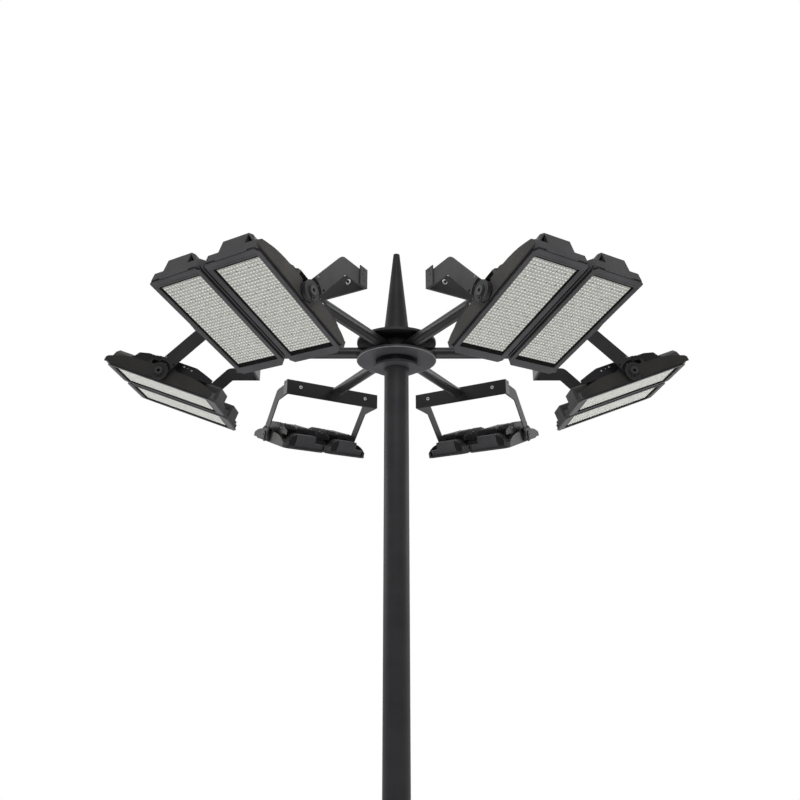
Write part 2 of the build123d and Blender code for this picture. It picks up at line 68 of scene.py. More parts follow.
DRIVER_FAR = 0.027
INNER_BOX_TOP = 0.058
BOX_FLAT = 0.066
INNER_BOX_START = 0.264
BOX_KNEE = (0.101, 0.0383)
BOX_FOOT = 0.128
BRACKET_IN_Y = 0.340
BRACKET_OUT_Y = 0.346
BOSS_R = 0.049
BOSS_OUT_Y = 0.3717
LOCK_R = 0.056                # from the pivot to the lock stud and its slot
LEG_DIRECTION = 135           # degrees from outward to the legs' centre lines
LEG_OUT_Y = 0.380
LEG_FLOOR_Y = 0.3765          # floor of the shallow recess round the pivot
LEG_HALF_W = 0.044
DIAL_FACE_Y = 0.384
HUB_RING_Y = 0.387
HUB_HOLE_DEPTH = 0.007
PLAIN_CAP_Y = 0.3853          # end face of the other side's pivot
PLATE_IN_R = 0.977
PLATE_OUT_R = 0.985
YOKE_T = 0.008
PLATE_BOLT_Y = 0.275
PLATE_BOLT_Z = 0.007

ARM_R = 0.03805
DRUM_R = 0.120
UPPER_TUBE_R = 0.080
ANCHOR_COUNT = 8
ANCHOR_R = 0.220
FLANGE_TOP = 0.030
DOOR_T = 0.005
HUB_BOLT_R = 0.205
COLLAR_R = 0.137
SMALL_FLANGE_T = 0.016

# Sizes of the pieces that are only here
SUNK = 0.0002                 # small parts start this far inside what they stand on
SLEEVE = 0.0004               # half the thickness of the thin sleeves round dark rims
RIDGE_H = 0.0012
BEAD_SIDES = 8
RIPPLE_STEPS = 509
LENS_ROWS = 14
LENS_COLUMNS = 32
LENS_PITCH_X = (FIELD_OUT + FIELD_IN) / LENS_COLUMNS
LENS_PITCH_Y = 2 * FIELD_HALF_W / LENS_ROWS
LENS_R = 0.43 * min(LENS_PITCH_X, LENS_PITCH_Y)
LENS_PROFILE = ((LENS_R, 0.0), (0.86 * LENS_R, 0.0020), (0.55 * LENS_R, 0.0042))
LENS_H = 0.0052
LENS_SIDES = 10
FORWARD = Vector((0, 0, -1))  # out of the lamp's front


# ---------------------------------------------------------------- materials
def new_material(name):
    mat = bpy.data.materials.new(name)
    mat.use_nodes = True
    tree = mat.node_tree
    return mat, tree, tree.nodes["Principled BSDF"]


def add(tree, kind, **sockets):
    node = tree.nodes.new(kind)
    for key, value in sockets.items():
        node.inputs[key.replace("_", " ")].default_value = value
    return node


def object_coords(tree, scale=(1, 1, 1)):
    coords = tree.nodes.new("ShaderNodeTexCoord")
    mapping = tree.nodes.new("ShaderNodeMapping")
    mapping.inputs["Scale"].default_value = scale
    tree.links.new(coords.outputs["Object"], mapping.inputs["Vector"])
    return mapping.outputs["Vector"]


def noise(tree, vector, scale, detail=3.0, roughness=0.5):
    node = add(tree, "ShaderNodeTexNoise", Scale=scale, Detail=detail, Roughness=roughness)
    tree.links.new(vector, node.inputs["Vector"])
    return node.outputs["Fac"]


def ramp(tree, factor, low, high):
    """Colours from low to high over the middle of a noise's range."""
    node = tree.nodes.new("ShaderNodeValToRGB")
    for stop, position, colour in zip(node.color_ramp.elements, (0.35, 0.65), (low, high)):
        stop.position = position
        stop.color = (*colour, 1)
    tree.links.new(factor, node.inputs["Fac"])
    return node.outputs["Color"]


def span(tree, factor, low, high, start=0.0, end=1.0, interpolation="LINEAR"):
    """A factor from start to end, mapped to low..high."""
    node = add(tree, "ShaderNodeMapRange", From_Min=start, From_Max=end, To_Min=low, To_Max=high)
    node.interpolation_type = interpolation
    tree.links.new(factor, node.inputs["Value"])
    return node.outputs["Result"]


def maths(tree, operation, first, second):
    node = tree.nodes.new("ShaderNodeMath")
    node.operation = operation
    tree.links.new(first, node.inputs[0])
    tree.links.new(second, node.inputs[1])
    return node.outputs["Value"]


def mix_shaders(tree, factor, first, second, output):
    """Mixes two shaders by a factor, into the tree's output node."""
    node = tree.nodes.new("ShaderNodeMixShader")
    for socket, value in zip(node.inputs, (factor, first, second)):
        tree.links.new(value, socket)
    tree.links.new(node.outputs["Shader"], tree.nodes[output].inputs["Surface"])


def mix_colour(tree, factor, tone, colour):
    """Mixes a fixed colour into a tone by a factor."""
    node = tree.nodes.new("ShaderNodeMix")
    node.data_type = "RGBA"
    node.clamp_factor = True
    sockets = {s.name: s for s in node.inputs if s.enabled}
    tree.links.new(factor, sockets["Factor"])
    tree.links.new(tone, sockets["A"])
    sockets["B"].default_value = (*colour, 1)
    return [s for s in node.outputs if s.enabled][0]


def powder_coat(name, dark, light, rough=(0.42, 0.56), streaks=0.0, grain=900.0, bump=0.05,
                gloss=0.12):
    """Satin powder coat: soft cloudy tone, orange peel, and a little dust on what faces up."""
    mat, tree, shader = new_material(name)
    flat = object_coords(tree)
    tone = ramp(tree, noise(tree, flat, scale=6.0, detail=4.0), dark, light)
    if streaks:
        tall = object_coords(tree, (1, 1, 0.06))
        runs = noise(tree, tall, scale=26.0, detail=5.0, roughness=0.6)
        washed = [c * 1.9 for c in light]
        tone = mix_colour(tree, span(tree, runs, 0.0, streaks), tone, washed)
    geometry = tree.nodes.new("ShaderNodeNewGeometry")
    split = tree.nodes.new("ShaderNodeSeparateXYZ")
    tree.links.new(geometry.outputs["Normal"], split.inputs["Vector"])
    upward = span(tree, split.outputs["Z"], 0.0, 0.22, start=0.55)
    patches = noise(tree, flat, scale=18.0, detail=6.0, roughness=0.65)
    dust = (0.16, 0.15, 0.135)
    tone = mix_colour(tree, maths(tree, "MULTIPLY", upward, patches), tone, dust)
    tree.links.new(tone, shader.inputs["Base Color"])
    worn = span(tree, noise(tree, flat, scale=45.0), *rough)
    tree.links.new(worn, shader.inputs["Roughness"])
    shader.inputs["Specular IOR Level"].default_value = gloss
    peel = add(tree, "ShaderNodeBump", Strength=bump, Distance=0.0006)
    tree.links.new(noise(tree, flat, scale=grain, detail=2.0), peel.inputs["Height"])
    tree.links.new(peel.outputs["Normal"], shader.inputs["Normal"])
    return mat


def clouded(name, dark, light, tone_noise, rough, rough_noise):
    """Material whose tone and roughness each follow a noise. Returns it with its shader."""
    mat, tree, shader = new_material(name)
    flat = object_coords(tree)
    tone = ramp(tree, noise(tree, flat, *tone_noise), dark, light)
    tree.links.new(tone, shader.inputs["Base Color"])
    worn = span(tree, noise(tree, flat, *rough_noise), *rough)
    tree.links.new(worn, shader.inputs["Roughness"])
    return mat, shader


def plain_metal(name, dark, light, rough=(0.25, 0.42), metallic=0.9):
    """Zinc-plated or stainless hardware, with a fine brushed tone."""
    mat, shader = clouded(name, dark, light, (400.0, 4.0), rough, (800.0, 2.0))
    shader.inputs["Metallic"].default_value = metallic
    return mat


# Near-black material, for black rubber and black parts, and for painted shade.
def rubber(name, gloss):
    mat, shader = clouded(name, (0.003, 0.003, 0.003), (0.008, 0.008, 0.008), (60.0, 4.0),
                          (0.6, 0.8), (240.0,))
    shader.inputs["Specular IOR Level"].default_value = gloss
    return mat


def lens_board(name):
    """Pale board between the lenses."""
    return clouded(name, (0.36, 0.36, 0.335), (0.44, 0.44, 0.41), (35.0, 4.0), (0.35, 0.5),
                   (500.0,))[0]


def lens_plastic(name, dark, light, rough):
    mat, shader = clouded(name, dark, light, (45.0, 5.0), rough, (700.0,))
    shader.inputs["Coat Weight"].default_value = 0.4
    shader.inputs["Coat Roughness"].default_value = 0.08
    return mat


MAST = powder_coat("mast_powder_coat", (0.025, 0.025, 0.027), (0.035, 0.035, 0.037), streaks=0.22)
HUB = powder_coat("hub_powder_coat", (0.036, 0.036, 0.040), (0.050, 0.050, 0.055))
ARM = powder_coat("arm_powder_coat", (0.013, 0.013, 0.014), (0.020, 0.020, 0.021), (0.26, 0.36),
                  bump=0.02, gloss=0.20)
YOKE = powder_coat("yoke_powder_coat", (0.028, 0.028, 0.029), (0.039, 0.039, 0.040))
SPIKE = powder_coat("spike_powder_coat", (0.018, 0.018, 0.019), (0.027, 0.027, 0.028))
HOUSING = powder_coat("housing_powder_coat", (0.050, 0.049, 0.052), (0.070, 0.068, 0.072),
                      bump=0.09)
SINK = powder_coat("heat_sink_coat", (0.015, 0.014, 0.016), (0.025, 0.024, 0.027), bump=0.09)
BRACKET = powder_coat("bracket_powder_coat", (0.030, 0.029, 0.028), (0.042, 0.040, 0.038))
PLATED_WASHER = plain_metal("plated_washer", (0.58, 0.58, 0.57), (0.72, 0.72, 0.70), metallic=0.35)
PLAIN_STEEL = plain_metal("plain_steel", (0.40, 0.40, 0.39), (0.52, 0.52, 0.50), metallic=0.35)
DARK_STEEL = plain_metal("blackened_steel", (0.03, 0.03, 0.03), (0.07, 0.07, 0.07), (0.35, 0.5))
BRIGHT_STEEL = plain_metal("zinc_plated_steel", (0.70, 0.70, 0.69), (0.86, 0.86, 0.84),
                           metallic=0.35)
DIAL = powder_coat("dial_coat", (0.048, 0.048, 0.047), (0.066, 0.066, 0.064))
GREY_STEEL = plain_metal("dull_steel", (0.14, 0.14, 0.13), (0.22, 0.22, 0.21), (0.35, 0.5))
# Black rubber for gaskets, glands, the friction sector and black screws; inside screw sockets it is
# painted shade.
RUBBER_AND_PAINTED_SHADE = rubber("black_rubber_and_painted_shade", 0.05)
# Flat black with no gloss, for the stop pad and the pointer screw, and as painted shade in holes,
# slots and at the drum's foot.
BLACK_PARTS_AND_PAINTED_SHADE = rubber("black_parts_and_painted_shade", 0.0)
BOARD = lens_board("lens_board")
LENS_SKIRT = lens_plastic("lens_skirt", (0.40, 0.40, 0.37), (0.50, 0.50, 0.465), (0.25, 0.4))
LENS_DOME = lens_plastic("lens_dome", (0.66, 0.66, 0.615), (0.78, 0.78, 0.73), (0.12, 0.25))
# Near-black coat that is painted shade, on the end boxes' bevels and round the collar.
PAINTED_SHADE_COAT = powder_coat("painted_shade_coat", (0.006, 0.006, 0.006), (0.011, 0.010, 0.010))
# Light grey for the lower disc's rim: a painted highlight along its edge.
RIM_HIGHLIGHT = powder_coat("painted_rim_highlight", (0.17, 0.17, 0.175), (0.25, 0.25, 0.26))
WELD = powder_coat("painted_weld", (0.018, 0.018, 0.018), (0.030, 0.030, 0.030), grain=300.0,
                   bump=0.3)

NODE_MATERIALS = {
    "base_flange": MAST, "mast_lower_section": MAST, "mast_middle_section": MAST,
    "mast_upper_section": MAST, "door_cover": MAST, "hub_collar": HUB, "lower_disc": HUB,
    # The hub drum takes the heat sink coat and the upper disc the spike's coat, both darker than
    # the hub's: painted shade, as they sit in the hub's shade.
    "hub_drum": SINK, "upper_disc": SPIKE, "spike": SPIKE,
}
KIND_MATERIALS = {
    "arm": ARM, "yoke": YOKE, "housings": HOUSING, "heat_sinks": SINK,
    "lens_panels": BOARD, "side_brackets": BRACKET,
}
for node, obj in frame["nodes"].items():
    kind = next((k for k in KIND_MATERIALS if k in node), None)
    mat = NODE_MATERIALS.get(node) or KIND_MATERIALS[kind]
    for place in obj.material_slots:
        place.material = mat


# ---------------------------------------------------------------- mesh helpers
def new_piece(name, bm, materials, body, angle=38):
    """Turns a bmesh into a piece that rides on a CAD body and has sharp edges over an angle."""
    bmesh.ops.recalc_face_normals(bm, faces=bm.faces)
    mesh = bpy.data.meshes.new(name)
    bm.to_mesh(mesh)
    bm.free()
    for mat in materials:
        mesh.materials.append(mat)
    mesh.shade_smooth()
    mesh.set_sharp_from_angle(angle=math.radians(angle))
    obj = bpy.data.objects.new(name, mesh)
    bpy.context.scene.collection.objects.link(obj)
    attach(obj, body)


def loft(bm, rings, mat=0, close_ends=True, loop=False):
    """Skins successive rings of points. Each ring has the same number of points."""
    rows = [[bm.verts.new(p) for p in ring] for ring in rings]
    pairs = list(zip(rows, rows[1:]))
    if loop:
        pairs.append((rows[-1], rows[0]))
    for a, b in pairs:
        n = len(a)
        for i in range(n):
            face = bm.faces.new((a[i], a[(i + 1) % n], b[(i + 1) % n], b[i]))
            face.material_index = mat
    if close_ends and not loop:
        for row in (rows[0], rows[-1]):
            face = bm.faces.new(row)
            face.material_index = mat
    return rows


def circle(radius, z, count):
    step = 2 * math.pi / count
    return [Vector((radius * math.cos(i * step), radius * math.sin(i * step), z))
            for i in range(count)]


def lathe(bm, place, profile, count, mat=0):
    """Revolves (radius, z) pairs about the place's Z axis, as a closed solid."""
    loft(bm, [[place @ p for p in circle(r, z, count)] for r, z in profile], mat)


def raised(place, z):
    return place @ Matrix.Translation((0, 0, z))


def washer(bm, place, inner, outer, z_low, z_high, count, mat=0):
    """Flat ring with softened edges."""
    c = min(outer - inner, z_high - z_low) * 0.18
    section = [
        (inner, z_low), (outer - c, z_low), (outer, z_low + c), (outer, z_high - c),
        (outer - c, z_high), (inner, z_high),
    ]
    rings = [[place @ p for p in circle(r, z, count)] for r, z in section]
    loft(bm, rings, mat, loop=True)


def hex_head(bm, place, flats, height, mat=0):
    """Hexagon head with a bevelled crown, standing on the place's XY plane."""
    r = flats / math.sqrt(3)
    rows = [(r, 0.0), (r, 0.78 * height), (0.84 * r, height), (0.55 * r, height)]
    lathe(bm, place, rows, 6, mat)


def socket_head(bm, place, radius, height, mat, hole_mat, count):
    """Cap screw with a six-sided socket sunk in its head. The socket's inside takes hole_mat,
    a black one, as painted shade.
    """
    def six(z):
        ring = []
        for i in range(count):
            a = 2 * math.pi * i / count
            wedge = (a % (math.pi / 3)) - math.pi / 6
            r = 0.46 * radius / math.cos(wedge)
            ring.append(Vector((r * math.cos(a), r * math.sin(a), z)))
        return ring

    outer = [circle(radius, 0.0, count), circle(radius, 0.8 * height, count),
             circle(0.88 * radius, height, count)]
    rows = loft(bm, [[place @ p for p in ring] for ring in outer + [six(height)]], mat,
                close_ends=False)
    low = [bm.verts.new(place @ p) for p in six(0.45 * height)]
    for i in range(count):
        j = (i + 1) % count
        bm.faces.new((rows[-1][i], rows[-1][j], low[j], low[i])).material_index = hole_mat
    bm.faces.new(low).material_index = hole_mat
    bm.faces.new(rows[0]).material_index = mat


def weld_bead(bm, points, thickness, seed):
    """Uneven round bead along a closed line of points."""
    rng = random.Random(seed)
    ripple = [rng.uniform(0.82, 1.15) for _ in range(RIPPLE_STEPS)]
    turns = [2 * math.pi * k / BEAD_SIDES for k in range(BEAD_SIDES)]
    side = None
    rings = []
    for i, p in enumerate(points):
        along = (points[(i + 1) % len(points)] - points[i - 1]).normalized()
        if side is None:
            side = along.orthogonal().normalized()
        side = (side - along * side.dot(along)).normalized()
        up = along.cross(side)
        r = thickness * ripple[i % RIPPLE_STEPS]
        rings.append([p + side * (r * math.cos(a)) + up * (r * math.sin(a)) for a in turns])
    loft(bm, rings, loop=True)


def ring_bead(bm, place, radius, thickness, seed, count):
    """Weld bead round a tube, about the place's Z axis."""
    weld_bead(bm, [place @ p for p in circle(radius, 0.0, count)], thickness, seed)


def rounded_rectangle(half_x, half_y, radius, steps):
    points = []
    for cx, cy, a0 in ((1, 1, 0), (-1, 1, 90), (-1, -1, 180), (1, -1, 270)):
        for k in range(steps + 1):
            a = math.radians(a0 + 90 * k / steps)
            points.append((cx * (half_x - radius) + radius * math.cos(a),
                           cy * (half_y - radius) + radius * math.sin(a)))
    return points


def facing(origin, direction):
    """Placement whose Z axis points along direction, and whose X axis is level."""
    z = Vector(direction).normalized()
    x = Vector((0, 0, 1)).cross(z)
    if x.length < 1e-6:
        x = Vector((1, 0, 0))
    x.normalize()
    rotation = Matrix((x, z.cross(x), z)).transposed().to_4x4()
    return Matrix.Translation(origin) @ rotation


# ---------------------------------------------------------------- heads
def head_places():
    """Number, arm placement, lamp placement, hand and pivot radius of each head."""
    places = []
    for joint in frame["joints"]:
        number = int(joint["name"].split("_")[1])
        pivot = Vector(joint["pos_m"])
        turn = Matrix.Rotation(math.atan2(pivot.y, pivot.x), 4, "Z")
        arm = Matrix.Translation((0, 0, pivot.z + PIVOT_DROP)) @ turn
        lamp = Matrix.Translation(pivot) @ turn @ Matrix.Rotation(-REST_TILT, 4, "Y")
        hand = 1 if pivot.x < 0 else -1
        places.append((number, arm, lamp, hand, math.hypot(pivot.x, pivot.y)))
    return places


def rectangle_ring(place, x_low, x_high, y_low, y_high, radius, z, steps=5):
    """Rounded rectangle between two corners at a height."""
    cx, cy = (x_low + x_high) / 2, (y_low + y_high) / 2
    outline = rounded_rectangle((x_high - x_low) / 2, (y_high - y_low) / 2, radius, steps)
    return [place @ Vector((cx + x, cy + y, z)) for x, y in outline]


def lamp_piece(kind, number, bm, materials, angle=38):
    new_piece(f"{kind}_{number}", bm, materials, f"floodlight_{number}", angle)


def lens_arrays(number, lamp):
    """Both modules' rows of small round lenses, standing down from the lens plates."""
    bm = bmesh.new()
    turn = [(k, (k + 1) % LENS_SIDES) for k in range(LENS_SIDES)]
    spots = [(y, column, row) for y in MODULE_CENTRES for column in range(LENS_COLUMNS)
             for row in range(LENS_ROWS)]
    for y, column, row in spots:
        centre = Vector((-FIELD_IN + (column + 0.5) * LENS_PITCH_X,
                         y - FIELD_HALF_W + (row + 0.5) * LENS_PITCH_Y, LENS_FACE))
        foot, shoulder, crown = [
            [bm.verts.new(lamp @ (centre + Vector((p.x, p.y, -height))))
             for p in circle(radius, 0.0, LENS_SIDES)]
            for radius, height in LENS_PROFILE
        ]
        tip = bm.verts.new(lamp @ (centre + LENS_H * FORWARD))
        for a, b, mat in ((foot, shoulder, 0), (shoulder, crown, 1)):
            for k, m in turn:
                bm.faces.new((a[k], a[m], b[m], b[k])).material_index = mat
        for k, m in turn:
            bm.faces.new((crown[k], crown[m], tip)).material_index = 1
        bm.faces.new(foot).material_index = 0
    lamp_piece("lens_array", number, bm, [LENS_SKIRT, LENS_DOME], 60)


def lens_screws(number, lamp):
    """Small grey screws between the lenses, four of them in every fourth column."""
    bm = bmesh.new()
    profile = [(0.0032, 0.0), (0.0032, 0.0014), (0.0024, 0.0024)]
    for y in MODULE_CENTRES:
        for column in range(2, LENS_COLUMNS, 4):
            for row in (2, 5, 9, 12):
                spot = Vector((-FIELD_IN + column * LENS_PITCH_X,
                               y - FIELD_HALF_W + row * LENS_PITCH_Y, LENS_FACE))
                lathe(bm, lamp @ facing(spot, FORWARD), profile, 12)
    lamp_piece("lens_screws", number, bm, [GREY_STEEL])


def window_gaskets(number, lamp):
    """Black gasket round each lens field, out to the window's edge."""
    bm = bmesh.new()
    corner = 0.004
    wide = (-WINDOW_IN + SUNK, WINDOW_OUT - SUNK, WINDOW_HALF_W - SUNK)
    narrow = (-FIELD_IN - 0.0015, FIELD_OUT + 0.0015, FIELD_HALF_W + 0.0008)
    section = (                               # which outline, how far inside it, and height
        (wide, 0.0, LENS_FACE - SUNK),
        (wide, 0.0, BEZEL_FRONT + 0.0030),
        (wide, 0.0012, BEZEL_FRONT + 0.0022),
        (wide, 0.0030, BEZEL_FRONT + 0.0032),
        (narrow, -0.0014, LENS_FACE - 0.0030),
        (narrow, 0.0, LENS_FACE - 0.0018),
        (narrow, 0.0, LENS_FACE - SUNK),
    )
    for y in MODULE_CENTRES:
        rings = []
        for (x_low, x_high, half), inset, z in section:
            rings.append(rectangle_ring(lamp, x_low + inset, x_high - inset, y - half + inset,
                                        y + half - inset, corner, z))
        loft(bm, rings, loop=True)
    lamp_piece("window_gaskets", number, bm, [RUBBER_AND_PAINTED_SHADE])


def ridge(bm, lamp, x_low, x_high, y_low, y_high, corner):
    """Low ridge with softened edges on the bezel's front."""
    rings = []
    for inset, z in ((0.0, 0.0), (0.0, -0.6 * RIDGE_H), (0.0008, -RIDGE_H)):
        rings.append(rectangle_ring(lamp, x_low + inset, x_high - inset, y_low + inset,
                                    y_high - inset, corner, BEZEL_FRONT + z))
    loft(bm, rings)


def bezel_ridges(number, lamp, hand):
    """Two low ridges along each bezel's plain side, and one lip outside the window's outer end."""
    bm = bmesh.new()
    for y in MODULE_CENTRES:
        for near, far in ((-0.1585, -0.1492), (-0.1468, -0.1375)):
            y_low, y_high = sorted((y + hand * near, y + hand * far))
            ridge(bm, lamp, -WINDOW_IN - 0.012, WINDOW_OUT + 0.004, y_low, y_high, corner=0.003)
        ridge(bm, lamp, WINDOW_OUT + 0.0045, WINDOW_OUT + 0.0105, y - WINDOW_HALF_W,
              y + WINDOW_HALF_W, corner=0.0025)
    lamp_piece("bezel_ridges", number, bm, [HOUSING], 28)


def bezel_screws(number, lamp, hand):
    """Cap screws in the bezel's groove, and on the body's back."""
    bm = bmesh.new()
    for y in MODULE_CENTRES:
        for x in (0.065, -0.011, -0.096):
            spot = Vector((x, y + hand * GROOVE_MIDDLE, GROOVE_FLOOR))
            socket_head(bm, lamp @ facing(spot, FORWARD), radius=0.0042, height=0.0050, mat=0,
                        hole_mat=1, count=16)
        for x in (-0.10, 0.10):
            for side in (-1, 1):
                spot = Vector((x, y + side * 0.150, BODY_BACK))
                socket_head(bm, lamp @ Matrix.Translation(spot), radius=0.0052, height=0.0045,
                            mat=0, hole_mat=1, count=16)
    lamp_piece("bezel_screws", number, bm, [DARK_STEEL, RUBBER_AND_PAINTED_SHADE])


def sink_screws(number, lamp, hand):
    """Bright screws in the side of the outermost fin."""
    bm = bmesh.new()
    for y in MODULE_CENTRES:
        side = y + hand * SINK_HALF_W
        for x, z, r in ((-0.105, 0.090, 0.0060), (-0.160, 0.082, 0.0054), (-0.131, 0.088, 0.0026)):
            place = lamp @ facing(Vector((x, side, z)), Vector((0, hand, 0)))
            lathe(bm, place, [(r, 0.0), (r, 0.0008), (0.75 * r, 0.0022), (0.3 * r, 0.0026)], 16)
    lamp_piece("sink_screws", number, bm, [PLAIN_STEEL])


def on_circle(radius, angle):
    """Placement on a circle in the XY plane, not turned."""
    return Matrix.Translation((radius * math.cos(angle), radius * math.sin(angle), 0))


def sector(bm, place, r_low, r_high, a_low, a_high, z_low, z_high, count):
    """Flat part of a ring between two radii and two angles."""
    rows = []
    for k in range(count + 1):
        a = a_low + (a_high - a_low) * k / count
        corners = ((r_low, z_low), (r_high, z_low), (r_high, z_high), (r_low, z_high))
        rows.append([place @ Vector((r * math.cos(a), r * math.sin(a), z)) for r, z in corners])
    loft(bm, rows)


def side_place(base, hand, y):
    """Placement on a side face: its X points outward, and its Z points away from the lamp."""
    z = Vector((0, hand, 0))
    x = Vector((1, 0, 0))
    rotation = Matrix((x, z.cross(x), z)).transposed().to_4x4()
    return base @ Matrix.Translation((0, hand * y, 0)) @ rotation


def side_angle(hand, degrees):
    """Angle about the tilt axis from outward, towards the lamp's back, in a side_place."""
    return math.radians(-hand * degrees)


def pivot_dials(number, lamp, hand):
    """Pivot bolt, rings and pointer screw on the dial, and the nut on the plain pivot. The sunk
    bolt is flat black as painted shade in its hole, and a dark sleeve on the drum's side is
    painted shade.
    """
    bm = bmesh.new()
    hole = side_place(lamp, hand, HUB_RING_Y - HUB_HOLE_DEPTH)
    # The sunk pivot bolt is all flat black: painted shade in its hole.
    socket_head(bm, hole, radius=0.0086, height=0.0020, mat=1, hole_mat=1, count=24)
    washer(bm, side_place(lamp, hand, HUB_RING_Y), inner=0.0100, outer=0.0250, z_low=-SUNK,
           z_high=0.0006, count=48, mat=2)
    dial = side_place(lamp, hand, DIAL_FACE_Y)
    washer(bm, dial, inner=0.0262, outer=0.0306, z_low=-SUNK, z_high=0.0005, count=48, mat=3)
    # Painted shade: a sleeve in the dark heat sink coat over the drum's side.
    washer(bm, side_place(lamp, hand, BRACKET_OUT_Y), BOSS_R - SLEEVE, BOSS_R + SLEEVE,
           z_low=0.0036, z_high=BOSS_OUT_Y - BRACKET_OUT_Y - 0.0006, count=64, mat=3)
    pointer = on_circle(0.0385, side_angle(hand, 245))
    socket_head(bm, dial @ pointer, radius=0.0050, height=0.0022, mat=1, hole_mat=1, count=18)
    cap = side_place(lamp, -hand, PLAIN_CAP_Y)
    washer(bm, cap, inner=0.0040, outer=0.0125, z_low=-SUNK, z_high=0.0006, count=24)
    hex_head(bm, cap, flats=0.0150, height=0.0055)
    lamp_piece("pivot_dials", number, bm, [DARK_STEEL, BLACK_PARTS_AND_PAINTED_SHADE, DIAL, SINK])


def pivot_seals(number, lamp, hand):
    """Painted shade: a black ring round the drum's foot, where its contact shadow falls, and a
    black liner behind each lock slot. Also a black stop pad.
    """
    bm = bmesh.new()
    foot = side_place(lamp, hand, BRACKET_OUT_Y)
    washer(bm, foot, BOSS_R - SUNK, BOSS_R + 0.0020, z_low=-SUNK, z_high=0.0035, count=64)
    liner_half_w = 0.0062
    for side in (-1, 1):
        behind = side_place(lamp, side, BRACKET_IN_Y)
        a, b = sorted((side_angle(side, 28), side_angle(side, 152)))
        sector(bm, behind, LOCK_R - liner_half_w, LOCK_R + liner_half_w, a, b, z_low=SUNK,
               z_high=0.0015, count=40)
    pad = [(0.081, 0.040), (0.0765, 0.0635), (0.026, 0.066), (0.024, 0.061)]
    for degrees in (68, 62, 56, 50, 44, 39):
        r = LOCK_R + 0.0064
        pad.append((r * math.cos(math.radians(degrees)), r * math.sin(math.radians(degrees))))
    faces = (BRACKET_OUT_Y - SUNK, BRACKET_OUT_Y + 0.0012)
    loft(bm, [[lamp @ Vector((x, hand * y, z)) for x, z in pad] for y in faces])
    lamp_piece("pivot_seals", number, bm, [BLACK_PARTS_AND_PAINTED_SHADE])


def leg_fittings(number, arm, pivot_r, hand):
    """Friction sector in the leg's recess, and the screws in both legs."""
    bm = bmesh.new()
    pivot = arm @ Matrix.Translation((pivot_r, 0, -PIVOT_DROP))
    floor = side_place(pivot, hand, LEG_FLOOR_Y)
    middle = side_angle(hand, LEG_DIRECTION)
    steps = 12
    rows = []
    for r in (0.0555, 0.060, 0.065, 0.0705):
        half = math.asin((LEG_HALF_W - 0.002) / r)
        angles = [middle + half * k / steps for k in range(-steps, steps + 1)]
        rows.append([(r * math.cos(a), r * math.sin(a)) for a in angles])
    outline = rows[0] + [rows[1][-1], rows[2][-1]] + rows[3][::-1] + [rows[2][0], rows[1][0]]
    sector_top = 0.0014
    loft(bm, [[floor @ Vector((x, y, z)) for x, y in outline] for z in (-SUNK, sector_top)], 1)
    face = side_place(pivot, hand, LEG_OUT_Y)
    high = face @ Matrix.Translation((-0.037, -hand * 0.087, 0))
    washer(bm, high, inner=0.003, outer=0.0062, z_low=-SUNK, z_high=0.0010, count=20, mat=2)
    socket_head(bm, raised(high, 0.0009), radius=0.0046, height=0.0034, mat=2, hole_mat=1, count=18)
    low = face @ Matrix.Translation((-0.086, -hand * 0.036, 0))
    socket_head(bm, low, radius=0.0056, height=0.0030, mat=1, hole_mat=1, count=18)
    for side in (-1, 1):
        seat = LEG_OUT_Y if side != hand else LEG_FLOOR_Y + sector_top
        lock = on_circle(LOCK_R, side_angle(side, LEG_DIRECTION))
        hex_head(bm, side_place(pivot, side, seat) @ lock, flats=0.0085, height=0.0030)
    new_piece(f"leg_fittings_{number}", bm, [DARK_STEEL, RUBBER_AND_PAINTED_SHADE, GREY_STEEL], "mast")


def box_painted_shades(number, lamp, hand):
    """Painted shade: a thin dark cover over the bevelled side and pocket of each inner end box."""
    bm = bmesh.new()
    over = 0.0006                             # how far the cover stands off the box
    pocket = -0.030
    knee_t, knee_z = BOX_KNEE
    end = [
        (BOX_FLAT + 0.002, 0.003),
        (BOX_FLAT + 0.002, INNER_BOX_TOP - 0.0012),
        (knee_t + over, knee_z + over),
        (BOX_FOOT + over, over),
        (BOX_FOOT - 0.004, over),
        (BOX_FOOT - 0.004, pocket),
        (BOX_FLAT + 0.012, pocket),
    ]
    bevel = [(BOX_FLAT + 0.002, INNER_BOX_TOP), (knee_t, knee_z), (BOX_FOOT, 0.0)]
    lifted = [(BOX_FLAT + 0.0026, INNER_BOX_TOP), (knee_t + over, knee_z + over),
              (BOX_FOOT + over, over)]
    along = [(t, z - 0.0008) for t, z in bevel] + lifted[::-1]
    end_faces = (-BODY_IN - 0.0008, -BODY_IN + 0.0004)
    along_ends = (-BODY_IN - 0.0004, -INNER_BOX_START + 0.0004)
    for y in MODULE_CENTRES:
        for section, ends in ((end, end_faces), (along, along_ends)):
            loft(bm, [[lamp @ Vector((x, y + hand * t, z)) for t, z in section] for x in ends])
    lamp_piece("box_painted_shades", number, bm, [PAINTED_SHADE_COAT])


def corner_gussets(number, lamp, hand):
    """Small wedges that close the bezel's cut corners against the side brackets' inner tips."""
    bm = bmesh.new()
    outer_x, inner_x = -0.338, -0.356
    side_y = 0.3458
    back_z = -0.0120
    for side, front_y, front_z in ((hand, 0.330, -0.047), (-hand, 0.345, -0.0565)):
        outline = [(outer_x, front_y - 0.004), (inner_x, front_y - 0.0138), (inner_x, side_y),
                   (outer_x, side_y)]
        loft(bm, [[lamp @ Vector((x, side * y, z)) for x, y in outline]
                  for z in (front_z, back_z)])
    lamp_piece("corner_gussets", number, bm, [HOUSING])


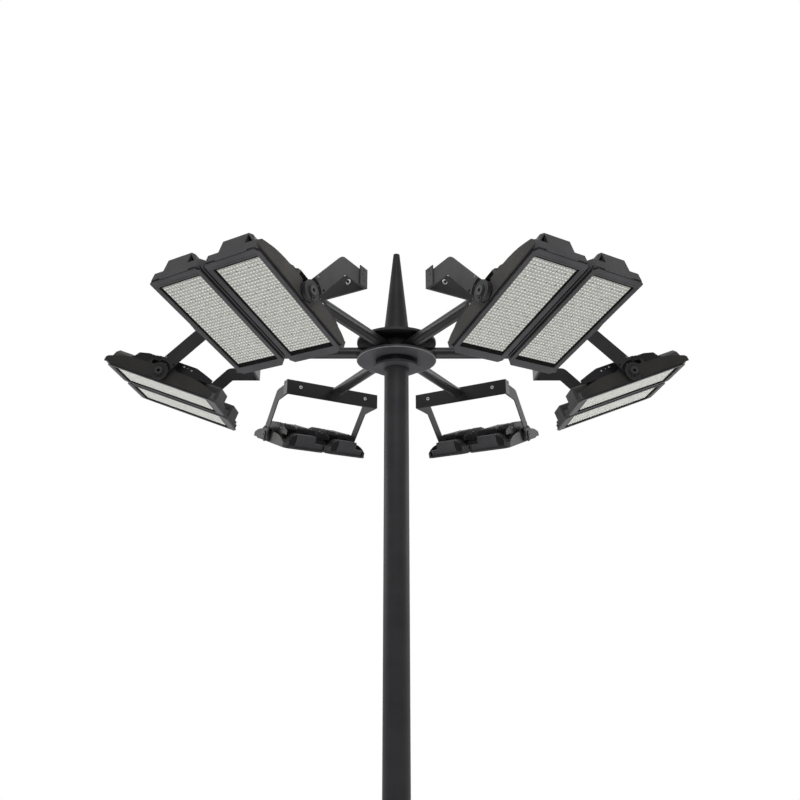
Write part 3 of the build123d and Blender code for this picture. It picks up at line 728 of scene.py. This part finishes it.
def driver_lids(number, lamp, hand):
    """Lid with four screws and a cable gland on each driver case."""
    bm = bmesh.new()
    middle = (DRIVER_NEAR + DRIVER_FAR) / 2
    half_w = (DRIVER_FAR - DRIVER_NEAR) / 2 - 0.026
    half_l = SINK_HALF_L - 0.040
    screw_inset = 0.012
    gland_z = 0.058
    gland_profile = [(0.0095, 0.005), (0.0095, 0.018), (0.0080, 0.022), (0.0050, 0.024)]
    for y in MODULE_CENTRES:
        cy = y + hand * middle
        rings = []
        for inset, z in ((0.0, -SUNK), (0.0, 0.0016), (0.0012, 0.0025)):
            rings.append(rectangle_ring(lamp, -half_l + inset, half_l - inset, cy - half_w + inset,
                                        cy + half_w - inset, 0.010, DRIVER_TOP + z, 6))
        loft(bm, rings)
        for x in (-1, 1):
            for side in (-1, 1):
                spot = (x * (half_l - screw_inset), cy + side * (half_w - screw_inset),
                        DRIVER_TOP + 0.0024)
                socket_head(bm, lamp @ Matrix.Translation(spot), radius=0.0046, height=0.0030,
                            mat=1, hole_mat=2, count=16)
        gland = lamp @ facing(Vector((-SINK_HALF_L, cy, gland_z)), Vector((-1, 0, 0)))
        hex_head(bm, gland, flats=0.024, height=0.006, mat=2)
        lathe(bm, gland, gland_profile, 24, 2)
    lamp_piece("driver_lids", number, bm, [SINK, DARK_STEEL, RUBBER_AND_PAINTED_SHADE], 28)


def plate_bolts(number, arm):
    """Through bolts that hold the yoke's back to the arm's plate, with washers and nuts."""
    bm = bmesh.new()
    for y in (-PLATE_BOLT_Y, PLATE_BOLT_Y):
        back = arm @ facing(Vector((PLATE_IN_R, y, PLATE_BOLT_Z)), Vector((-1, 0, 0)))
        washer(bm, back, inner=0.0048, outer=0.0125, z_low=-SUNK, z_high=0.0022, count=24)
        # The socket's inside is flat black: painted shade.
        socket_head(bm, raised(back, 0.0020), radius=0.0058, height=0.0040, mat=1, hole_mat=2,
                    count=20)
        front = arm @ facing(Vector((PLATE_OUT_R + YOKE_T, y, PLATE_BOLT_Z)), Vector((1, 0, 0)))
        washer(bm, front, inner=0.0068, outer=0.0150, z_low=-SUNK, z_high=0.0022, count=24)
        hex_head(bm, raised(front, 0.0021), flats=0.0150, height=0.0105, mat=1)
        lathe(bm, front, [(0.0050, 0.012), (0.0050, 0.0175), (0.0042, 0.0185)], 14, 1)
    new_piece(f"plate_bolts_{number}", bm, [PLATED_WASHER, DARK_STEEL, BLACK_PARTS_AND_PAINTED_SHADE], "mast")


def arm_welds(number, arm):
    """Fillet weld beads where the arm meets the drum and its plate."""
    bm = bmesh.new()
    thickness = 0.0045
    count = 72
    saddle = []
    for i in range(count):
        a = 2 * math.pi * i / count
        y = (ARM_R + 0.002) * math.cos(a)
        z = (ARM_R + 0.002) * math.sin(a)
        saddle.append(arm @ Vector((math.sqrt(DRUM_R ** 2 - y * y) + 0.002, y, z)))
    weld_bead(bm, saddle, thickness, number)
    end = arm @ facing(Vector((PLATE_IN_R - 0.0015, 0, 0)), Vector((1, 0, 0)))
    ring_bead(bm, end, ARM_R + 0.0015, thickness, number + 10, count)
    new_piece(f"arm_welds_{number}", bm, [WELD], "mast")


for number, arm, lamp, hand, pivot_r in head_places():
    lens_arrays(number, lamp)
    lens_screws(number, lamp)
    window_gaskets(number, lamp)
    bezel_ridges(number, lamp, hand)
    bezel_screws(number, lamp, hand)
    sink_screws(number, lamp, hand)
    pivot_dials(number, lamp, hand)
    pivot_seals(number, lamp, hand)
    leg_fittings(number, arm, pivot_r, hand)
    box_painted_shades(number, lamp, hand)
    corner_gussets(number, lamp, hand)
    driver_lids(number, lamp, hand)
    plate_bolts(number, arm)
    arm_welds(number, arm)


# ---------------------------------------------------------------- mast and hub
def mast_welds():
    """Beads at the mast's joints, under the hub's collar and round the spike's foot."""
    bm = bmesh.new()
    beads = []
    for name, thickness in (("mast_lower_section", 0.005), ("mast_middle_section", 0.005),
                            ("mast_upper_section", 0.005), ("spike", 0.004)):
        low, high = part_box(name)
        beads.append((low.z + 0.001, (high.x - low.x) / 2 + 0.001, thickness))
    beads.insert(3, (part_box("hub_collar")[0].z - 0.001, UPPER_TUBE_R + 0.001, 0.004))
    for seed, (z, radius, thickness) in enumerate(beads, start=40):
        ring_bead(bm, Matrix.Translation((0, 0, z)), radius, thickness, seed, 120)
    new_piece("mast_welds", bm, [WELD], "mast")


def around(radius, degrees, z):
    a = math.radians(degrees)
    return Vector((radius * math.cos(a), radius * math.sin(a), z))


def anchor_nuts():
    """Studs with washers, nuts and lock nuts in the base flange's holes."""
    bm = bmesh.new()
    stud = [(0.0120, -FLANGE_TOP + 0.001), (0.0120, 0.049), (0.0100, 0.052)]
    for i in range(ANCHOR_COUNT):
        spot = around(ANCHOR_R, (i + 0.5) * 360 / ANCHOR_COUNT, FLANGE_TOP)
        place = Matrix.Translation(spot)
        lathe(bm, place, stud, 20, 1)
        washer(bm, place, inner=0.0125, outer=0.0260, z_low=0.0, z_high=0.0040, count=28)
        hex_head(bm, raised(place, 0.0040), flats=0.0360, height=0.0200)
        hex_head(bm, raised(place, 0.0245), flats=0.0360, height=0.0130)
    new_piece("anchor_nuts", bm, [BRIGHT_STEEL, GREY_STEEL], "mast")


def door_fittings():
    """Two key locks and two hinges at the door cover, and an earthing stud below."""
    low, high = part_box("door_cover")
    outer_r = -low.y
    half = math.degrees(math.asin(high.x / outer_r))
    front = -90                               # degrees, the side that the door is on
    barrel = [(0.0060, -0.0300), (0.0065, -0.0290), (0.0065, 0.0290), (0.0060, 0.0300)]
    bm = bmesh.new()
    for z in (low.z + 0.09, high.z - 0.09):
        spot = around(outer_r, front + 0.62 * half, z)
        place = facing(spot, Vector((spot.x, spot.y, 0)))
        lathe(bm, place, [(0.0120, -0.0010), (0.0120, 0.0030), (0.0100, 0.0042)], 28)
        # Flat black triangle on the lock: painted shade in its keyhole.
        lathe(bm, place, [(0.0058, 0.0040), (0.0058, 0.0048)], 3, 1)
        hinge = Matrix.Translation(around(outer_r - 0.0005, front - half - 1.5, z))
        lathe(bm, hinge, barrel, 20, 2)
        lathe(bm, hinge, [(0.0035, -0.0340), (0.0035, 0.0340)], 14)
    stud = around(outer_r - DOOR_T, front + 2.2 * half, low.z - 0.25)
    place = facing(stud, Vector((stud.x, stud.y, 0)))
    washer(bm, place, inner=0.0052, outer=0.0120, z_low=-0.0004, z_high=0.0020, count=24)
    hex_head(bm, raised(place, 0.0018), flats=0.0160, height=0.0080)
    lathe(bm, place, [(0.0050, 0.0090), (0.0050, 0.0240), (0.0040, 0.0250)], 16)
    new_piece("door_fittings", bm, [BRIGHT_STEEL, BLACK_PARTS_AND_PAINTED_SHADE, MAST], "mast")


def disc_rims():
    """Dark paint round both discs' rims, with a painted highlight along the lower one's lower
    edge, and painted shade as a dark band round the collar."""
    bm = bmesh.new()
    for name, edge in (("lower_disc", 1), ("upper_disc", 0)):
        low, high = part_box(name)
        radius = (high.x - low.x) / 2
        section = [(radius - 0.0045, -0.0006), (radius - 0.0004, -0.0006),
                   (radius + 0.0006, 0.0004), (radius + 0.0006, 0.0032),
                   (radius - 0.0006, 0.0032), (radius - 0.0045, 0.0004)]
        place = Matrix.Translation((0, 0, low.z))
        loft(bm, [[place @ p for p in circle(r, z, 160)] for r, z in section], edge, loop=True)
        washer(bm, place, radius - SLEEVE, radius + SLEEVE, z_low=0.0034,
               z_high=high.z - low.z - 0.0008, count=160)
    low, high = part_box("hub_collar")
    collar = Matrix.Translation((0, 0, low.z))
    # Painted shade: a dark band round the collar, between the small flange and the lower disc.
    washer(bm, collar, COLLAR_R - SLEEVE, COLLAR_R + SLEEVE, z_low=SMALL_FLANGE_T + 0.0005,
           z_high=high.z - low.z - 0.0005, count=120, mat=2)
    new_piece("disc_rims", bm, [YOKE, RIM_HIGHLIGHT, PAINTED_SHADE_COAT], "mast")


def hub_bolts():
    """Hexagon bolts with washers on the upper disc, between the arms."""
    bm = bmesh.new()
    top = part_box("upper_disc")[1].z
    for i in range(len(frame["joints"])):
        place = Matrix.Translation(around(HUB_BOLT_R, 30 + 60 * i, top))
        washer(bm, place, inner=0.0060, outer=0.0150, z_low=-SUNK, z_high=0.0025, count=24)
        hex_head(bm, raised(place, 0.0024), flats=0.0190, height=0.0090)
    new_piece("hub_bolts", bm, [BRIGHT_STEEL], "mast")


mast_welds()
anchor_nuts()
door_fittings()
disc_rims()
hub_bolts()


# ---------------------------------------------------------------- stage, light and camera
def pale_floor():
    """White floor that glows softly towards its edge in the camera's and glossy rays only."""
    bm = bmesh.new()
    bm.faces.new([bm.verts.new(p) for p in circle(16.0, 0.0, 96)])
    mesh = bpy.data.meshes.new("floor")
    bm.to_mesh(mesh)
    bm.free()
    mat, tree, shader = new_material("pale_floor")
    flat = object_coords(tree)
    tone = ramp(tree, noise(tree, flat, scale=0.8), (0.84, 0.84, 0.84), (0.87, 0.87, 0.87))
    tree.links.new(tone, shader.inputs["Base Color"])
    shader.inputs["Roughness"].default_value = 0.9
    shader.inputs["Specular IOR Level"].default_value = 0.1
    glow = add(tree, "ShaderNodeEmission", Strength=1.0, Color=(1, 1, 1, 1))
    rays = tree.nodes.new("ShaderNodeLightPath")
    coords = tree.nodes.new("ShaderNodeTexCoord")
    length = tree.nodes.new("ShaderNodeVectorMath")
    length.operation = "LENGTH"
    tree.links.new(coords.outputs["Object"], length.inputs[0])
    edge = span(tree, length.outputs["Value"], 0.5, 1.0, 3.0, 15.0, "SMOOTHSTEP")
    shown = maths(tree, "MAXIMUM", rays.outputs["Is Camera Ray"], rays.outputs["Is Glossy Ray"])
    seen = maths(tree, "MULTIPLY", edge, shown)
    mix_shaders(tree, seen, shader.outputs["BSDF"], glow.outputs["Emission"], "Material Output")
    mesh.materials.append(mat)
    floor = bpy.data.objects.new("floor", mesh)
    floor.location.z = -0.002
    bpy.context.scene.collection.objects.link(floor)


def studio_world():
    """Dim bluish light from all sides, shown as white to the camera, gloss and glass."""
    world = bpy.data.worlds.new("studio")
    bpy.context.scene.world = world
    world.use_nodes = True
    tree = world.node_tree
    light = tree.nodes["Background"]
    light.inputs["Color"].default_value = (0.97, 0.985, 1.0, 1)
    light.inputs["Strength"].default_value = 0.2
    white = add(tree, "ShaderNodeBackground", Color=(1, 1, 1, 1), Strength=1.0)
    rays = tree.nodes.new("ShaderNodeLightPath")
    clear = maths(tree, "MAXIMUM", rays.outputs["Is Glossy Ray"],
                  rays.outputs["Is Transmission Ray"])
    seen = maths(tree, "MAXIMUM", rays.outputs["Is Camera Ray"], clear)
    mix_shaders(tree, seen, light.outputs["Background"], white.outputs["Background"],
                "World Output")


def softbox(name, location, target, size, power):
    """Round area light that the camera doesn't see."""
    data = bpy.data.lights.new(name, "AREA")
    data.shape = "DISK"
    data.size = size
    data.energy = power
    lamp = bpy.data.objects.new(name, data)
    lamp.location = location
    aim = Vector(target) - Vector(location)
    lamp.rotation_euler = aim.to_track_quat("-Z", "Y").to_euler()
    lamp.visible_camera = False
    bpy.context.scene.collection.objects.link(lamp)


def camera(arm_z):
    """The photo's view, fitted to the six like heads: from below, looking up."""
    data = bpy.data.cameras.new("camera")
    data.lens = 32.588
    data.sensor_width = 36.0
    data.shift_x = 0.0044
    data.clip_end = 400.0
    cam = bpy.data.objects.new("camera", data)
    cam.location = (0.0, -4.4867, arm_z - 1.816)
    upward = 18.33
    cam.rotation_euler = (math.radians(90 + upward), 0.0, 0.0)
    bpy.context.scene.collection.objects.link(cam)
    bpy.context.scene.camera = cam


arm_height = frame["joints"][0]["pos_m"][2] + PIVOT_DROP
pale_floor()
studio_world()
hub_centre = (0, 0, arm_height)
for name, (x, y, above_arms), size, power in (
    ("left_softbox", (-8.0, 3.0, 1.0), 5.0, 260),
    ("right_softbox", (8.0, 3.0, 1.0), 5.0, 260),
    ("front_softbox", (0.0, -4.6, 3.5), 2.4, 95),
    ("near_softbox", (0.0, -1.9, 0.15), 0.6, 7),
    ("low_softbox", (0.0, -1.3, -11.4), 14.0, 1240),
):
    softbox(name, (x, y, arm_height + above_arms), hub_centre, size, power)
camera(arm_height)

bpy.context.scene.view_settings.view_transform = "Standard"
